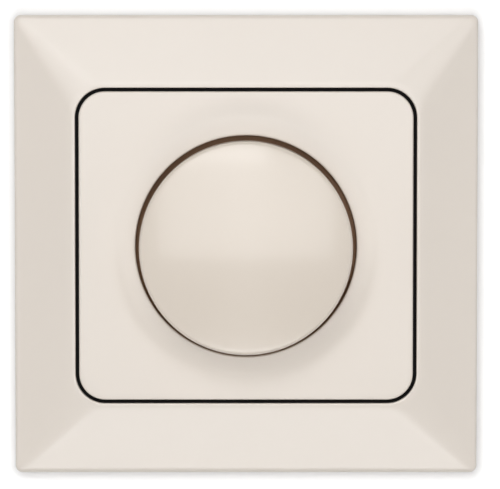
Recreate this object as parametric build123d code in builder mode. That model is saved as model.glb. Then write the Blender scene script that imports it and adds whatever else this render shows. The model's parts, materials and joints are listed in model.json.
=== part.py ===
from build123d import *
import os
from math import asin, cos, hypot, pi, sin, sqrt

os.makedirs("parts", exist_ok=True)

# A flush-mounted rotary dimmer. Sizes are in millimetres. X runs to the right, Z runs up and the
# front faces -Y. "out" means the distance in front of the wall, and it is negative behind the wall.

# Clearances
shaft_gap = 0.05  # round the shaft, where it turns and slides
thread_gap = 0.05  # between a screw or a bushing and what it is screwed into
pass_gap = 0.2  # round a screw or a pin that only passes through
slip_gap = 0.1  # between pieces that slide, or stand beside each other
bump_gap = 0.3  # left at the end of the knob's stroke

# Cover frame
frame_width = 84.0
frame_height = 83.2
frame_corner = 1.3
frame_edge = 4.6  # height of the outer wall
frame_rise = 4.0  # from the outer wall up to the opening
frame_edge_round = 1.0
frame_edge_steps = 16  # outlines that the rounded edge is drawn through
frame_wall = 2.0
opening_width = 61.6
opening_height = 57.0
opening_corner = 5.4
lip_width = 0.5  # flat land round the opening
ledge_width = 1.8
ledge_thickness = 1.2
ledge_out = 3.2

# Centre plate, with its collar and the well for the knob
plate_gap = 0.66  # between the plate and the frame
plate_wall = 1.6
plate_skin = 1.8
plate_edge_round = 0.35
seal_gap = 0.03  # on each side of the sealing ring
seal_drop = 0.7  # from the plate's face down to the ring
collar_width = 5.6  # from the well's edge to where the collar meets the plate
collar_land = 0.8
collar_rise = 0.35
collar_edge_round = 0.3
well_wall = 1.6
floor_thickness = 1.3

# Knob
knob_radius = 19.05
knob_gap = 0.9  # between the knob and the well
knob_stand = 7.65  # from the collar's top to the knob's rim
knob_crown = 2.6  # the dome's height over the rim
knob_edge_round = 0.9
knob_wall = 1.6
knob_roof = 1.8
hub_radius = 4.8
rib_count = 6
rib_width = 1.0
rib_drop = 4.0
push_travel = 1.5
knob_floor_gap = 0.5

# Shaft and the leaf spring on its flat
shaft_radius = 3.0
shaft_flat = 1.5  # from the axis to the flat under the knob
drive_flat = 2.2  # from the axis to the flat in the rotor
shaft_seat = 5.8  # the length inside the hub
leaf_thickness = 0.4
leaf_width = 3.6
leaf_end_gap = 0.4
leaf_slack = 0.02

# Bushing, washer and nuts
bushing_radius = 4.5
thread_depth = 0.3
thread_pitch = 0.75
bushing_spare = 0.3
flange_radius = 6.0
flange_thickness = 1.4
washer_radius = 7.0
washer_thickness = 0.6
washer_teeth = 10
washer_notch = 1.2
nut_across_flats = 12.0
nut_thickness = 2.0
cover_nut_radius = 7.2
cover_nut_thickness = 2.0
spanner_slot = 1.6

# Support strap and its slots
strap_size = 71.0
strap_corner = 8.0
strap_thickness = 1.2
box_screw_spacing = 60.0
slot_radius = 2.1
slot_length = 5.6

# Housing
housing_width = 44.0
housing_height = 50.0
housing_corner = 5.0
housing_depth = 27.0
housing_wall = 1.6
housing_back_round = 1.2
insulator_thickness = 0.8
boss_radius = 2.8
boss_inset = 4.0  # from the housing's sides to a boss's axis
boss_thread_depth = 9.0
housing_screw_radius = 1.3
housing_screw_head_radius = 2.6
housing_screw_head = 1.5
housing_screw_length = 8.0
screw_slot_width = 0.8
screw_slot_depth = 0.7

# Potentiometer
case_radius = 8.5
case_wall = 0.5
case_depth = 7.0
wafer_thickness = 1.2
wafer_inset = 0.2
track_thickness = 0.15
track_inner = 4.7
track_outer = 6.7
rotor_radius = 7.2
rotor_disc = 1.4
rotor_hub_radius = 4.4
wiper_thickness = 0.3
wiper_width = 1.6
wiper_ring_radius = 4.2
pot_pin_pitch = 2.5
pot_pin_width = 1.2
pot_pin_thickness = 0.5
pot_pin_reach = 2.1

# Push switch
switch_size = 13.0
switch_depth = 8.5
switch_wall = 0.8
switch_front_depth = 3.0  # from the switch's front to the shoulder in its bore
switch_bore = 4.6
plunger_radius = 2.6
plunger_flange = 4.0
plunger_flange_thickness = 0.9
bridge_thickness = 0.3
bridge_inner = 2.4
spring_radius = 1.6
spring_wire = 0.3
spring_turns = 4
spring_end_gap = 0.05
switch_pin_x = 3.3
switch_pin_radius = 0.45
switch_pin_outer = 8.4

# Circuit board
board_thickness = 1.6
board_gap = 0.6  # from the potentiometer's back to the board
board_side_gap = 0.4
board_boss_gap = 0.6
board_rib_width = 2.0
board_rib_height = 4.0
board_rib_z = 14.0
lead_radius = 0.35
lead_bar_radius = 0.32  # of the part that runs along the board
lead_tail = 0.8
lead_gap = 0.1

# Triac and heat sink
sink_boss_gap = 1.2
sink_thickness = 1.5
sink_fin = 6.0
triac_length = 9.2
triac_width = 10.0
triac_height = 3.1
tab_length = 15.8
tab_thickness = 1.3
triac_x = -8.0  # the end that the leads leave
triac_lead_pitch = 2.54
triac_lead_width = 0.8
triac_lead_thickness = 0.5
triac_lead_reach = 3.0
triac_screw_radius = 1.5
triac_screw_head_radius = 2.8
triac_screw_head = 1.8
triac_screw_inset = 3.4  # from the tab's end

# Choke
choke_side_gap = 0.4  # from the winding to the housing's wall
choke_outer = 4.625
choke_inner = 2.4
choke_height = 5.0
choke_wire = 0.7
choke_turns = 14
choke_lift = 0.3
choke_loop_gap = 0.05

# Capacitors
film_z = 1.0
film_width = 7.5
film_height = 17.5
film_depth = 12.0
film_lead_spacing = 15.0
timing_width = 7.2
timing_height = 2.6
timing_depth = 6.5
timing_lead_spacing = 5.0
timing_places = (-2.4, 6.0)
capacitor_round = 0.4

# Resistors and diac, which lie across the board
resistor_radius = 1.2
resistor_length = 6.4
resistor_span = 10.16
resistor_x = 1.6
side_lead_gap = 1.85  # from the side resistor's leads to the switch and to the wall
diac_radius = 0.9
diac_length = 4.0
diac_span = 7.62
axial_lift = 0.5

# Fuse
fuse_length = 20.0
fuse_tube_radius = 2.2
fuse_glass = 0.45
fuse_cap_wall = 0.35
fuse_cap_length = 5.0
clip_length = 4.0
clip_thickness = 0.4
clip_inset = 0.5
clip_leg_drop = 0.6

# Terminals
terminal_pitch = 11.0
terminal_names = ("left", "middle", "right")
cage_width = 7.2
cage_length = 8.2
cage_wall = 0.9
cage_thread_wall = 1.2
cage_rear_gap = 0.2
wire_gap = 4.6  # between the clamp and the cage, when open
clamp_thickness = 1.0
clamp_travel = 3.6
terminal_screw_radius = 1.7
terminal_head_radius = 2.6
terminal_head = 2.0
terminal_head_recess = 0.4
terminal_slot_width = 0.8
terminal_slot_depth = 1.0
entry_width = 5.0
entry_height = 4.5
entry_chamfer = 0.5
partition = 1.0
partition_top_gap = 1.0
terminal_leg_width = 3.0

# Places that follow from the sizes, as distances out from the wall
face_out = frame_edge + frame_rise
ledge_top = ledge_out + ledge_thickness
floor_out = strap_thickness + washer_thickness + nut_thickness
floor_top = floor_out + floor_thickness
bushing_out = floor_top + cover_nut_thickness + bushing_spare
collar_top = face_out + collar_rise
knob_rim = collar_top + knob_stand
knob_top = knob_rim + knob_crown
knob_bottom = floor_top + push_travel + knob_floor_gap
hub_bottom = bushing_out + push_travel + bump_gap
shaft_end = hub_bottom + shaft_seat
housing_front = -insulator_thickness
housing_back = housing_front - housing_depth
housing_inner_back = housing_back + housing_wall
case_front = -flange_thickness
case_back = case_front - case_depth
wafer_back = case_back + wafer_inset
wafer_front = wafer_back + wafer_thickness
board_front = case_back - board_gap
board_back = board_front - board_thickness
switch_back = case_back - switch_depth
shoulder_out = case_back - switch_front_depth

# Places across the wall
well_radius = knob_radius + knob_gap
collar_radius = well_radius + collar_width
plate_width = opening_width - 2 * plate_gap
plate_height = opening_height - 2 * plate_gap
inner_width = housing_width - 2 * housing_wall
inner_height = housing_height - 2 * housing_wall
boss_x = housing_width / 2 - boss_inset
boss_z = housing_height / 2 - boss_inset
boss_points = [(x, z) for x in (-boss_x, boss_x) for z in (-boss_z, boss_z)]
terminal_x = [terminal_pitch * (index - 1) for index in range(3)]

# Terminal heights, counted up from the housing's bottom wall
head_bottom = terminal_head_recess - housing_height / 2
head_top = head_bottom + terminal_head
cage_bottom = head_top + clamp_travel + slip_gap
clamp_bottom = cage_bottom + cage_thread_wall + slip_gap
clamp_top = clamp_bottom + clamp_thickness
cage_inner_top = clamp_top + wire_gap
cage_top = cage_inner_top + cage_wall
cage_back = housing_inner_back + cage_rear_gap
cage_front = cage_back + cage_length
cage_middle = (cage_front + cage_back) / 2
entry_z = (clamp_top + cage_inner_top) / 2

# The triac and the sink's fin share the height between the potentiometer and the top wall
sink_gap = (inner_height / 2 - case_radius - triac_width - sink_thickness) / 3
sink_bottom = case_radius + sink_gap
sink_height = triac_width + sink_gap + sink_thickness
sink_width = 2 * (boss_x - boss_radius - sink_boss_gap)
triac_z = sink_bottom + triac_width / 2

# Above the switch, the fuse, the small capacitors and two resistors lie in evenly spaced rows
cap_radius = fuse_tube_radius + fuse_cap_wall + thread_gap
clip_inner = 2 * (cap_radius + slip_gap)
clip_height = clip_inner + 2 * clip_thickness
row_room = inner_height / 2 - switch_size / 2
row_gap = (row_room - clip_height - timing_height - 4 * resistor_radius) / 5
fuse_z = inner_height / 2 - row_gap - clip_height / 2
timing_z = fuse_z - clip_height / 2 - row_gap - timing_height / 2
upper_resistor_z = timing_z - timing_height / 2 - row_gap - resistor_radius
lower_resistor_z = upper_resistor_z - 2 * resistor_radius - row_gap

# Left of the switch, the choke, a resistor and the diac lie between the triac and the terminals
choke_radius = choke_outer + choke_loop_gap + choke_wire
choke_x = choke_side_gap + choke_radius - inner_width / 2
film_x = (inner_width / 2 + switch_pin_outer + switch_pin_radius) / 2
side_x = -(inner_width / 2 + switch_size / 2) / 2
side_span = inner_width / 2 - switch_size / 2 - 2 * side_lead_gap
lead_bottom = triac_z - triac_lead_pitch - triac_lead_width / 2
side_room = lead_bottom - cage_top
side_gap = (side_room - 2 * (choke_radius + resistor_radius + diac_radius)) / 4
choke_z = lead_bottom - side_gap - choke_radius
side_resistor_z = choke_z - choke_radius - side_gap - resistor_radius
diac_z = side_resistor_z - resistor_radius - side_gap - diac_radius


def front(out):
    # the plane that faces the viewer, this far in front of the wall
    return Plane.XZ.offset(out)


def rod(radius, start, end, x=0, z=0, mode=Mode.ADD):
    # a round bar along the depth, between two distances out from the wall
    with BuildSketch(front(start)) as outline:
        with Locations((x, z)):
            Circle(radius)
    extrude(outline.sketch, amount=end - start, mode=mode)


def block(width, height, start, end, x=0, z=0, corner=0, mode=Mode.ADD):
    # a rectangular bar along the depth, with rounded corners where corner is given
    with BuildSketch(front(start)) as outline:
        with Locations((x, z)):
            if corner:
                RectangleRounded(width, height, corner)
            else:
                Rectangle(width, height)
    extrude(outline.sketch, amount=end - start, mode=mode)


def cross_rod(radius, start, end, out, z, mode=Mode.ADD):
    # a round bar from left to right
    with BuildSketch(Plane.YZ.offset(start)) as outline:
        with Locations((-out, z)):
            Circle(radius)
    extrude(outline.sketch, amount=end - start, mode=mode)


def upright(radius, bottom, top, x, out, mode=Mode.ADD):
    # a round bar from below to above
    with BuildSketch(Plane.XY.offset(bottom)) as outline:
        with Locations((x, -out)):
            Circle(radius)
    extrude(outline.sketch, amount=top - bottom, mode=mode)


def save(piece, name):
    piece.part.label = name
    export_step(piece.part, f"parts/{name}.step")


# Cover frame: a low hollow pyramid, with a ledge that the centre plate's skirt stands on
run_x = (frame_width - opening_width) / 2 - lip_width
run_z = (frame_height - opening_height) / 2 - lip_width


def edge_centre(run):
    # height of the middle of the edge's round, for a slope that runs in this far
    return frame_edge - frame_edge_round * (hypot(run, frame_rise) - frame_rise) / run


def edge_end(run):
    # height where the round meets the slope
    return edge_centre(run) + frame_edge_round * run / hypot(run, frame_rise)


def edge_inset(out, run):
    # how far the surface lies in from the outer wall at this height
    if out >= edge_end(run):
        return (out - frame_edge) * run / frame_rise
    above = max(out - edge_centre(run), 0)
    return frame_edge_round - sqrt(frame_edge_round**2 - above**2)


def frame_outline(out):
    climbed = max(out - frame_edge, 0) / frame_rise
    with BuildSketch(front(out)) as outline:
        RectangleRounded(
            frame_width - 2 * edge_inset(out, run_x),
            frame_height - 2 * edge_inset(out, run_z),
            frame_corner + (opening_corner + lip_width - frame_corner) * climbed,
        )
    return outline.sketch


edge_start = min(edge_centre(run_x), edge_centre(run_z))
edge_finish = max(edge_end(run_x), edge_end(run_z))
edge_height = edge_finish - edge_start
edge_sweep = asin(min(edge_height / frame_edge_round, 1))
edge_angles = [edge_sweep * step / frame_edge_steps for step in range(frame_edge_steps + 1)]
edge_outs = [edge_start + edge_height * sin(angle) / sin(edge_sweep) for angle in edge_angles]
with BuildPart() as frame:
    block(frame_width, frame_height, 0, edge_start, corner=frame_corner)
    loft([frame_outline(out) for out in edge_outs])
    loft([frame_outline(edge_finish), frame_outline(face_out)], ruled=True)
    cavity_width = frame_width - 2 * frame_wall
    cavity_height = frame_height - 2 * frame_wall
    throat_width = opening_width + 2 * frame_wall
    throat_height = opening_height + 2 * frame_wall
    cavity_top = frame_edge - frame_wall
    block(cavity_width, cavity_height, 0, cavity_top, mode=Mode.SUBTRACT)
    with BuildSketch(front(cavity_top)):
        Rectangle(cavity_width, cavity_height)
    with BuildSketch(front(face_out - frame_wall)):
        Rectangle(throat_width, throat_height)
    loft(ruled=True, mode=Mode.SUBTRACT)
    block(throat_width, throat_height, ledge_out, face_out - frame_wall / 2)
    block(
        opening_width, opening_height, ledge_top, face_out,
        corner=opening_corner, mode=Mode.SUBTRACT,
    )
    block(
        opening_width - 2 * ledge_width, opening_height - 2 * ledge_width, 0, ledge_top,
        corner=opening_corner - ledge_width, mode=Mode.SUBTRACT,
    )
save(frame, "frame")

# Centre plate: a skirted plate with a collar, and a well down to the floor that the nut clamps
with BuildPart() as centre_plate:
    plate_corner = opening_corner - plate_gap
    block(plate_width, plate_height, ledge_top, face_out, corner=plate_corner)
    rim = centre_plate.edges().filter_by_position(Axis.Y, -face_out, -face_out)
    fillet(rim, plate_edge_round)
    block(
        plate_width - 2 * plate_wall, plate_height - 2 * plate_wall, ledge_top,
        face_out - plate_skin, corner=plate_corner - plate_wall, mode=Mode.SUBTRACT,
    )
    with BuildSketch(Plane.XY):
        with BuildLine():
            base = (collar_radius, -face_out)
            crest = (well_radius + collar_land, -collar_top)
            Line((well_radius, -floor_top), (well_radius, -collar_top))
            Line((well_radius, -collar_top), crest)
            Bezier(
                crest,
                (crest[0] + collar_width / 2, -collar_top),
                (base[0] - collar_width / 2, -face_out),
                base,
            )
            Polyline(
                base,
                (collar_radius, plate_skin / 2 - face_out),
                (well_radius + well_wall, plate_skin / 2 - face_out),
                (well_radius + well_wall, -floor_out),
                (bushing_radius + pass_gap, -floor_out),
                (bushing_radius + pass_gap, -floor_top),
                (well_radius, -floor_top),
            )
        make_face()
    revolve(axis=Axis.Y)
    rod(well_radius, floor_top, collar_top, mode=Mode.SUBTRACT)
    well_edge = centre_plate.edges().filter_by(GeomType.CIRCLE)
    well_edge = well_edge.filter_by_position(Axis.Y, -collar_top, -collar_top)
    fillet(well_edge.sort_by(SortBy.RADIUS)[0], collar_edge_round)
save(centre_plate, "centre_plate")

# Sealing ring: black rubber that fills the gap between the frame and the centre plate
with BuildPart() as seal:
    seal_outer_corner = opening_corner - seal_gap
    block(
        opening_width - 2 * seal_gap, opening_height - 2 * seal_gap, ledge_top,
        face_out - seal_drop, corner=seal_outer_corner,
    )
    block(
        plate_width + 2 * seal_gap, plate_height + 2 * seal_gap, ledge_top,
        face_out - seal_drop, corner=plate_corner + seal_gap, mode=Mode.SUBTRACT,
    )
save(seal, "sealing_ring")

# Knob: a domed cap with a skirt, a hub with a flat in its bore, and ribs under the roof
dome_radius = (knob_radius**2 + knob_crown**2) / (2 * knob_crown)


def dome_out(radius):
    return knob_top - dome_radius + sqrt(dome_radius**2 - radius**2)


with BuildPart() as knob:
    skirt_inner = knob_radius - knob_wall
    bore_radius = shaft_radius + shaft_gap
    bore_end = shaft_end + slip_gap
    with BuildSketch(Plane.XY) as knob_profile:
        with BuildLine():
            ThreePointArc(
                (0, -knob_top),
                (knob_radius / 2, -dome_out(knob_radius / 2)),
                (knob_radius, -knob_rim),
            )
            Polyline(
                (knob_radius, -knob_rim),
                (knob_radius, -knob_bottom),
                (skirt_inner, -knob_bottom),
                (skirt_inner, -(knob_rim - knob_roof)),
                (hub_radius, -(dome_out(hub_radius) - knob_roof)),
                (hub_radius, -hub_bottom),
                (bore_radius, -hub_bottom),
                (bore_radius, -bore_end),
                (0, -bore_end),
                (0, -knob_top),
            )
        make_face()
        rim_point = knob_profile.vertices().filter_by_position(Axis.Y, -knob_rim, -knob_rim)
        fillet(rim_point, knob_edge_round)
    revolve(axis=Axis.Y)
    key_bottom = shaft_flat + leaf_thickness + 2 * leaf_slack
    key_height = hub_radius - (hub_radius - bore_radius) / 2 - key_bottom
    block(
        bore_radius, key_height, hub_bottom, bore_end + slip_gap,
        z=key_bottom + key_height / 2,
    )
    block(
        2 * bore_radius, bore_radius - key_bottom, hub_bottom, bore_end + slip_gap,
        z=(bore_radius + key_bottom) / 2,
    )
    rib_top = knob_rim - knob_roof
    rib_middle = (hub_radius + skirt_inner) / 2
    rib_length = skirt_inner - hub_radius + knob_wall
    with BuildSketch(front(rib_top - rib_drop)):
        with PolarLocations(rib_middle, rib_count):
            Rectangle(rib_length, rib_width)
    extrude(amount=rib_drop + knob_roof / 2)
save(knob, "knob")

# Shaft: one flat for the knob, and one for the rotor that it slides through
shaft_back = case_back + slip_gap
with BuildPart() as shaft:
    rod(shaft_radius, shaft_back, shaft_end)
    block(
        2 * shaft_radius, shaft_radius, hub_bottom - slip_gap, shaft_end,
        z=shaft_flat + shaft_radius / 2, mode=Mode.SUBTRACT,
    )
    block(
        2 * shaft_radius, shaft_radius, shaft_back, 0,
        z=drive_flat + shaft_radius / 2, mode=Mode.SUBTRACT,
    )
save(shaft, "shaft")

# Leaf spring between the shaft's flat and the knob's key
with BuildPart() as leaf:
    block(
        leaf_width, leaf_thickness, hub_bottom + leaf_end_gap, shaft_end - leaf_end_gap,
        z=shaft_flat + leaf_slack + leaf_thickness / 2,
    )
save(leaf, "knob_leaf_spring")

# Threaded bushing, turned with its flange behind the strap
with BuildPart() as bushing:
    thread_count = int((bushing_out - strap_thickness) / thread_pitch)
    thread_points = [(shaft_radius + shaft_gap, -bushing_out)]
    for turn in range(thread_count):
        crest_out = bushing_out - turn * thread_pitch
        thread_points.append((bushing_radius - thread_depth, -crest_out))
        thread_points.append((bushing_radius, thread_pitch / 2 - crest_out))
    thread_points.append((bushing_radius - thread_depth, thread_count * thread_pitch - bushing_out))
    with BuildSketch(Plane.XY):
        with BuildLine():
            Polyline(
                *thread_points,
                (bushing_radius - thread_depth, 0),
                (flange_radius, 0),
                (flange_radius, flange_thickness),
                (shaft_radius + shaft_gap, flange_thickness),
                close=True,
            )
        make_face()
    revolve(axis=Axis.Y)
save(bushing, "bushing")

# Tooth washer and the two nuts on the bushing
with BuildPart() as washer:
    washer_top = strap_thickness + washer_thickness
    rod(washer_radius, strap_thickness, washer_top)
    rod(bushing_radius + pass_gap, strap_thickness, washer_top, mode=Mode.SUBTRACT)
    with BuildSketch(front(strap_thickness)):
        with PolarLocations(washer_radius, washer_teeth):
            Rectangle(washer_notch, washer_notch)
    extrude(amount=washer_thickness, mode=Mode.SUBTRACT)
save(washer, "tooth_washer")

with BuildPart() as bushing_nut:
    with BuildSketch(front(washer_top)):
        RegularPolygon(nut_across_flats / 2, 6, major_radius=False)
        Circle(bushing_radius + thread_gap, mode=Mode.SUBTRACT)
    extrude(amount=nut_thickness)
save(bushing_nut, "bushing_nut")

with BuildPart() as cover_nut:
    cover_nut_top = floor_top + cover_nut_thickness
    rod(cover_nut_radius, floor_top, cover_nut_top)
    rod(bushing_radius + thread_gap, floor_top, cover_nut_top, mode=Mode.SUBTRACT)
    block(
        3 * cover_nut_radius, spanner_slot, cover_nut_top - cover_nut_thickness / 2,
        cover_nut_top, mode=Mode.SUBTRACT,
    )
save(cover_nut, "cover_nut")

# Steel strap: four slots for the box screws, and holes for the bushing and the small screws
sink_front = -insulator_thickness
triac_screw_x = triac_x + tab_length - triac_screw_inset
with BuildPart() as strap:
    with BuildSketch(front(0)):
        Rectangle(strap_size, strap_size)
        chamfer(vertices(), strap_corner)
        Circle(bushing_radius + pass_gap, mode=Mode.SUBTRACT)
        with Locations(*boss_points):
            Circle(housing_screw_radius + pass_gap, mode=Mode.SUBTRACT)
        with Locations((triac_screw_x, triac_z)):
            Circle(triac_screw_radius + thread_gap, mode=Mode.SUBTRACT)
        half_spacing = box_screw_spacing / 2
        with Locations((-half_spacing, 0), (half_spacing, 0)):
            SlotOverall(slot_length, 2 * slot_radius, mode=Mode.SUBTRACT)
        with Locations((0, -half_spacing), (0, half_spacing)):
            SlotOverall(slot_length, 2 * slot_radius, rotation=90, mode=Mode.SUBTRACT)
    extrude(amount=strap_thickness)
save(strap, "support_strap")

# Insulating sheet between the strap and the housing
with BuildPart() as insulator:
    block(housing_width, housing_height, housing_front, 0, corner=housing_corner)
    rod(flange_radius + pass_gap, housing_front, 0, mode=Mode.SUBTRACT)
    for x, z in boss_points:
        rod(housing_screw_radius + pass_gap, housing_front, 0, x, z, mode=Mode.SUBTRACT)
    rod(
        triac_screw_radius + pass_gap, housing_front, 0, triac_screw_x, triac_z,
        mode=Mode.SUBTRACT,
    )
save(insulator, "insulating_sheet")

# Housing: a deep box with screw bosses, board ribs and partitions between the terminals
with BuildPart() as housing:
    block(housing_width, housing_height, housing_back, housing_front, corner=housing_corner)
    fillet(housing.edges().group_by(Axis.Y)[-1], housing_back_round)
    block(
        inner_width, inner_height, housing_inner_back, housing_front,
        corner=housing_corner - housing_wall, mode=Mode.SUBTRACT,
    )
    for x, z in boss_points:
        rod(boss_radius, housing_inner_back - housing_wall / 2, housing_front, x, z)
        rod(
            housing_screw_radius + thread_gap, housing_front - boss_thread_depth, housing_front,
            x, z, mode=Mode.SUBTRACT,
        )
    rib_x = inner_width / 2 - board_rib_width / 2
    for side in (-1, 1):
        block(
            board_rib_width + housing_wall / 2, board_rib_height,
            housing_inner_back - housing_wall / 2, board_back,
            x=side * (rib_x + housing_wall / 4), z=board_rib_z,
        )
        partition_bottom = -inner_height / 2 - housing_wall / 2
        partition_height = cage_top + partition_top_gap - partition_bottom
        block(
            partition, partition_height, housing_inner_back - housing_wall / 2,
            cage_front + partition_top_gap,
            x=side * terminal_pitch / 2, z=partition_bottom + partition_height / 2,
        )
    for x in terminal_x:
        block(
            entry_width, entry_height, housing_back, housing_inner_back, x=x, z=entry_z,
            mode=Mode.SUBTRACT,
        )
        upright(
            terminal_head_radius + pass_gap, -housing_height / 2, -inner_height / 2,
            x, cage_middle, mode=Mode.SUBTRACT,
        )
    entry_edges = housing.edges().filter_by_position(Axis.Y, -housing_back, -housing_back)
    entry_edges = entry_edges.filter_by(GeomType.LINE)
    entry_longest = max(entry_width, entry_height) + slip_gap
    chamfer([edge for edge in entry_edges if edge.length < entry_longest], entry_chamfer)
save(housing, "housing")

# Four screws through the strap into the housing's bosses
with BuildPart() as housing_screws:
    head_out = strap_thickness + housing_screw_head
    for x, z in boss_points:
        rod(housing_screw_radius, strap_thickness - housing_screw_length, strap_thickness, x, z)
        rod(housing_screw_head_radius, strap_thickness, head_out, x, z)
        block(
            2 * housing_screw_head_radius, screw_slot_width, head_out - screw_slot_depth,
            head_out, x, z, mode=Mode.SUBTRACT,
        )
save(housing_screws, "housing_screws")

# Potentiometer: a steel can round the rotor, closed at the back by the track wafer
pot_pin_x = [pot_pin_pitch * (index - 1) for index in range(3)]
pot_pin_z = -(case_radius + pot_pin_reach - pot_pin_thickness / 2)
pot_pin_out = (wafer_front + wafer_back) / 2
with BuildPart() as case:
    rod(case_radius, case_back, case_front)
    rod(case_radius - case_wall, case_back, case_front - case_wall, mode=Mode.SUBTRACT)
    rod(shaft_radius + pass_gap, case_front - case_wall, case_front, mode=Mode.SUBTRACT)
    notch_width = 2 * pot_pin_pitch + pot_pin_width + 2 * pass_gap
    block(
        notch_width, 2 * case_wall + pass_gap, case_back, wafer_front + pass_gap,
        z=-case_radius, mode=Mode.SUBTRACT,
    )
save(case, "potentiometer_case")

with BuildPart() as wafer:
    rod(case_radius - case_wall - thread_gap, wafer_back, wafer_front)
    rod(shaft_radius + pass_gap, wafer_back, wafer_front, mode=Mode.SUBTRACT)
save(wafer, "track_wafer")

# The track is a horseshoe, open at the bottom where its ends meet the outer pins
with BuildPart() as track:
    with BuildSketch(front(wafer_front)):
        Circle(track_outer)
        Circle(track_inner, mode=Mode.SUBTRACT)
        with Locations((0, -track_outer)):
            Rectangle(track_inner, 2 * (track_outer - track_inner) + track_inner, mode=Mode.SUBTRACT)
    extrude(amount=track_thickness)
save(track, "resistive_track")

with BuildPart() as pot_pins:
    pin_start = -(case_radius - case_wall)
    for x in pot_pin_x:
        block(
            pot_pin_width, pin_start - pot_pin_z + pot_pin_thickness / 2,
            pot_pin_out - pot_pin_thickness / 2, pot_pin_out + pot_pin_thickness / 2,
            x=x, z=(pin_start + pot_pin_z - pot_pin_thickness / 2) / 2,
        )
        block(
            pot_pin_width, pot_pin_thickness, board_back - lead_tail, pot_pin_out,
            x=x, z=pot_pin_z,
        )
save(pot_pins, "potentiometer_pins")

# Rotor: the shaft's flat turns it, and it carries the wiper over the track
rotor_front = case_front - case_wall - slip_gap
rotor_back = wafer_front + track_thickness + wiper_thickness + slip_gap
with BuildPart() as rotor:
    rod(rotor_hub_radius, rotor_back, rotor_front)
    rod(rotor_radius, rotor_back, rotor_back + rotor_disc)
    rod(shaft_radius + shaft_gap, rotor_back, rotor_front, mode=Mode.SUBTRACT)
    rotor_key = rotor_hub_radius - drive_flat - shaft_gap
    block(
        2 * shaft_radius, rotor_key, rotor_back, rotor_front,
        z=drive_flat + shaft_gap + rotor_key / 2,
    )
    with BuildSketch(front(rotor_back)):
        Circle(rotor_radius)
    extrude(amount=rotor_front - rotor_back, mode=Mode.INTERSECT)
save(rotor, "wiper_rotor")

with BuildPart() as wiper:
    wiper_back = rotor_back - wiper_thickness
    rod(wiper_ring_radius, wiper_back, rotor_back)
    rod(shaft_radius + pass_gap, wiper_back, rotor_back, mode=Mode.SUBTRACT)
    finger_length = track_outer - shaft_radius - pass_gap
    block(
        wiper_width, finger_length - wiper_width / 2, wiper_back, rotor_back,
        z=track_outer - finger_length / 2,
    )
    rod(wiper_width / 2, wiper_back - slip_gap / 2, rotor_back, z=(track_inner + track_outer) / 2)
save(wiper, "wiper_contact")

# Push switch behind the potentiometer: the shaft's end presses its plunger
plunger_front = shaft_back - slip_gap / 2
flange_front = shoulder_out - slip_gap / 2
flange_back = flange_front - plunger_flange_thickness
bridge_back = flange_back - bridge_thickness
switch_inner_back = switch_back + switch_wall
contact_tip = bridge_back - push_travel - slip_gap
with BuildPart() as switch_body:
    block(switch_size, switch_size, switch_back, case_back, corner=switch_wall)
    rod(shaft_radius + 2 * pass_gap, shoulder_out, case_back, mode=Mode.SUBTRACT)
    rod(switch_bore, switch_inner_back, shoulder_out, mode=Mode.SUBTRACT)
    for side in (-1, 1):
        rod(
            switch_pin_radius + thread_gap, switch_back, switch_inner_back,
            x=side * switch_pin_x, mode=Mode.SUBTRACT,
        )
save(switch_body, "push_switch_body")

with BuildPart() as plunger:
    rod(plunger_radius, flange_back, plunger_front)
    rod(plunger_flange, flange_back, flange_front)
save(plunger, "push_switch_plunger")

with BuildPart() as bridge:
    rod(plunger_flange, bridge_back, flange_back)
    rod(bridge_inner, bridge_back, flange_back, mode=Mode.SUBTRACT)
save(bridge, "contact_bridge")

# Return spring: a coil from the switch's back wall to the plunger's flange, inside the bridge
with BuildPart() as spring:
    spring_start = spring_wire / 2 + spring_end_gap - flange_back
    coil_height = flange_back - switch_inner_back - spring_wire - 2 * spring_end_gap
    with BuildLine() as coil:
        Helix(
            coil_height / spring_turns, coil_height, spring_radius,
            center=(0, spring_start, 0), direction=(0, 1, 0),
        )
    with BuildSketch(Plane(origin=coil.line @ 0, z_dir=coil.line % 0)):
        Circle(spring_wire / 2)
    sweep(is_frenet=True)
save(spring, "push_spring")

with BuildPart() as switch_pins:
    pin_back = switch_back - 2 * switch_pin_radius
    for side in (-1, 1):
        rod(switch_pin_radius, pin_back, contact_tip, x=side * switch_pin_x)
        left = min(side * switch_pin_x, side * switch_pin_outer)
        right = max(side * switch_pin_x, side * switch_pin_outer)
        cross_rod(switch_pin_radius, left, right, switch_back - switch_pin_radius, 0)
        rod(
            switch_pin_radius, pin_back, board_front + lead_tail / 4,
            x=side * switch_pin_outer,
        )
save(switch_pins, "push_switch_pins")

# Electronics, all on the back of the board unless it says otherwise
board_holes = []


def leg(x, z, tip):
    # a component's lead, from the given depth through the board, with its hole noted
    rod(lead_radius, tip, board_front + lead_tail / 2, x, z)
    board_holes.append((x, z))


def axial(radius, length, span, x, z):
    # a small body lying across the board, on two bent leads
    axis_out = board_back - axial_lift - radius
    cross_rod(radius, x - length / 2, x + length / 2, axis_out, z)
    cross_rod(lead_bar_radius, x - span / 2, x + span / 2, axis_out, z)
    for side in (-1, 1):
        leg(x + side * span / 2, z, axis_out - lead_radius)


with BuildPart() as resistors:
    for z in (upper_resistor_z, lower_resistor_z):
        axial(resistor_radius, resistor_length, resistor_span, resistor_x, z)
    axial(resistor_radius, resistor_length, side_span, side_x, side_resistor_z)
save(resistors, "resistors")

with BuildPart() as diac:
    axial(diac_radius, diac_length, diac_span, side_x, diac_z)
save(diac, "diac")

with BuildPart() as film_capacitor:
    film_back = board_back - slip_gap - film_depth
    block(film_width, film_height, film_back, board_back - slip_gap, film_x, film_z, capacitor_round)
    for side in (-1, 1):
        leg(film_x, film_z + side * film_lead_spacing / 2, board_back - slip_gap)
save(film_capacitor, "interference_capacitor")

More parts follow.
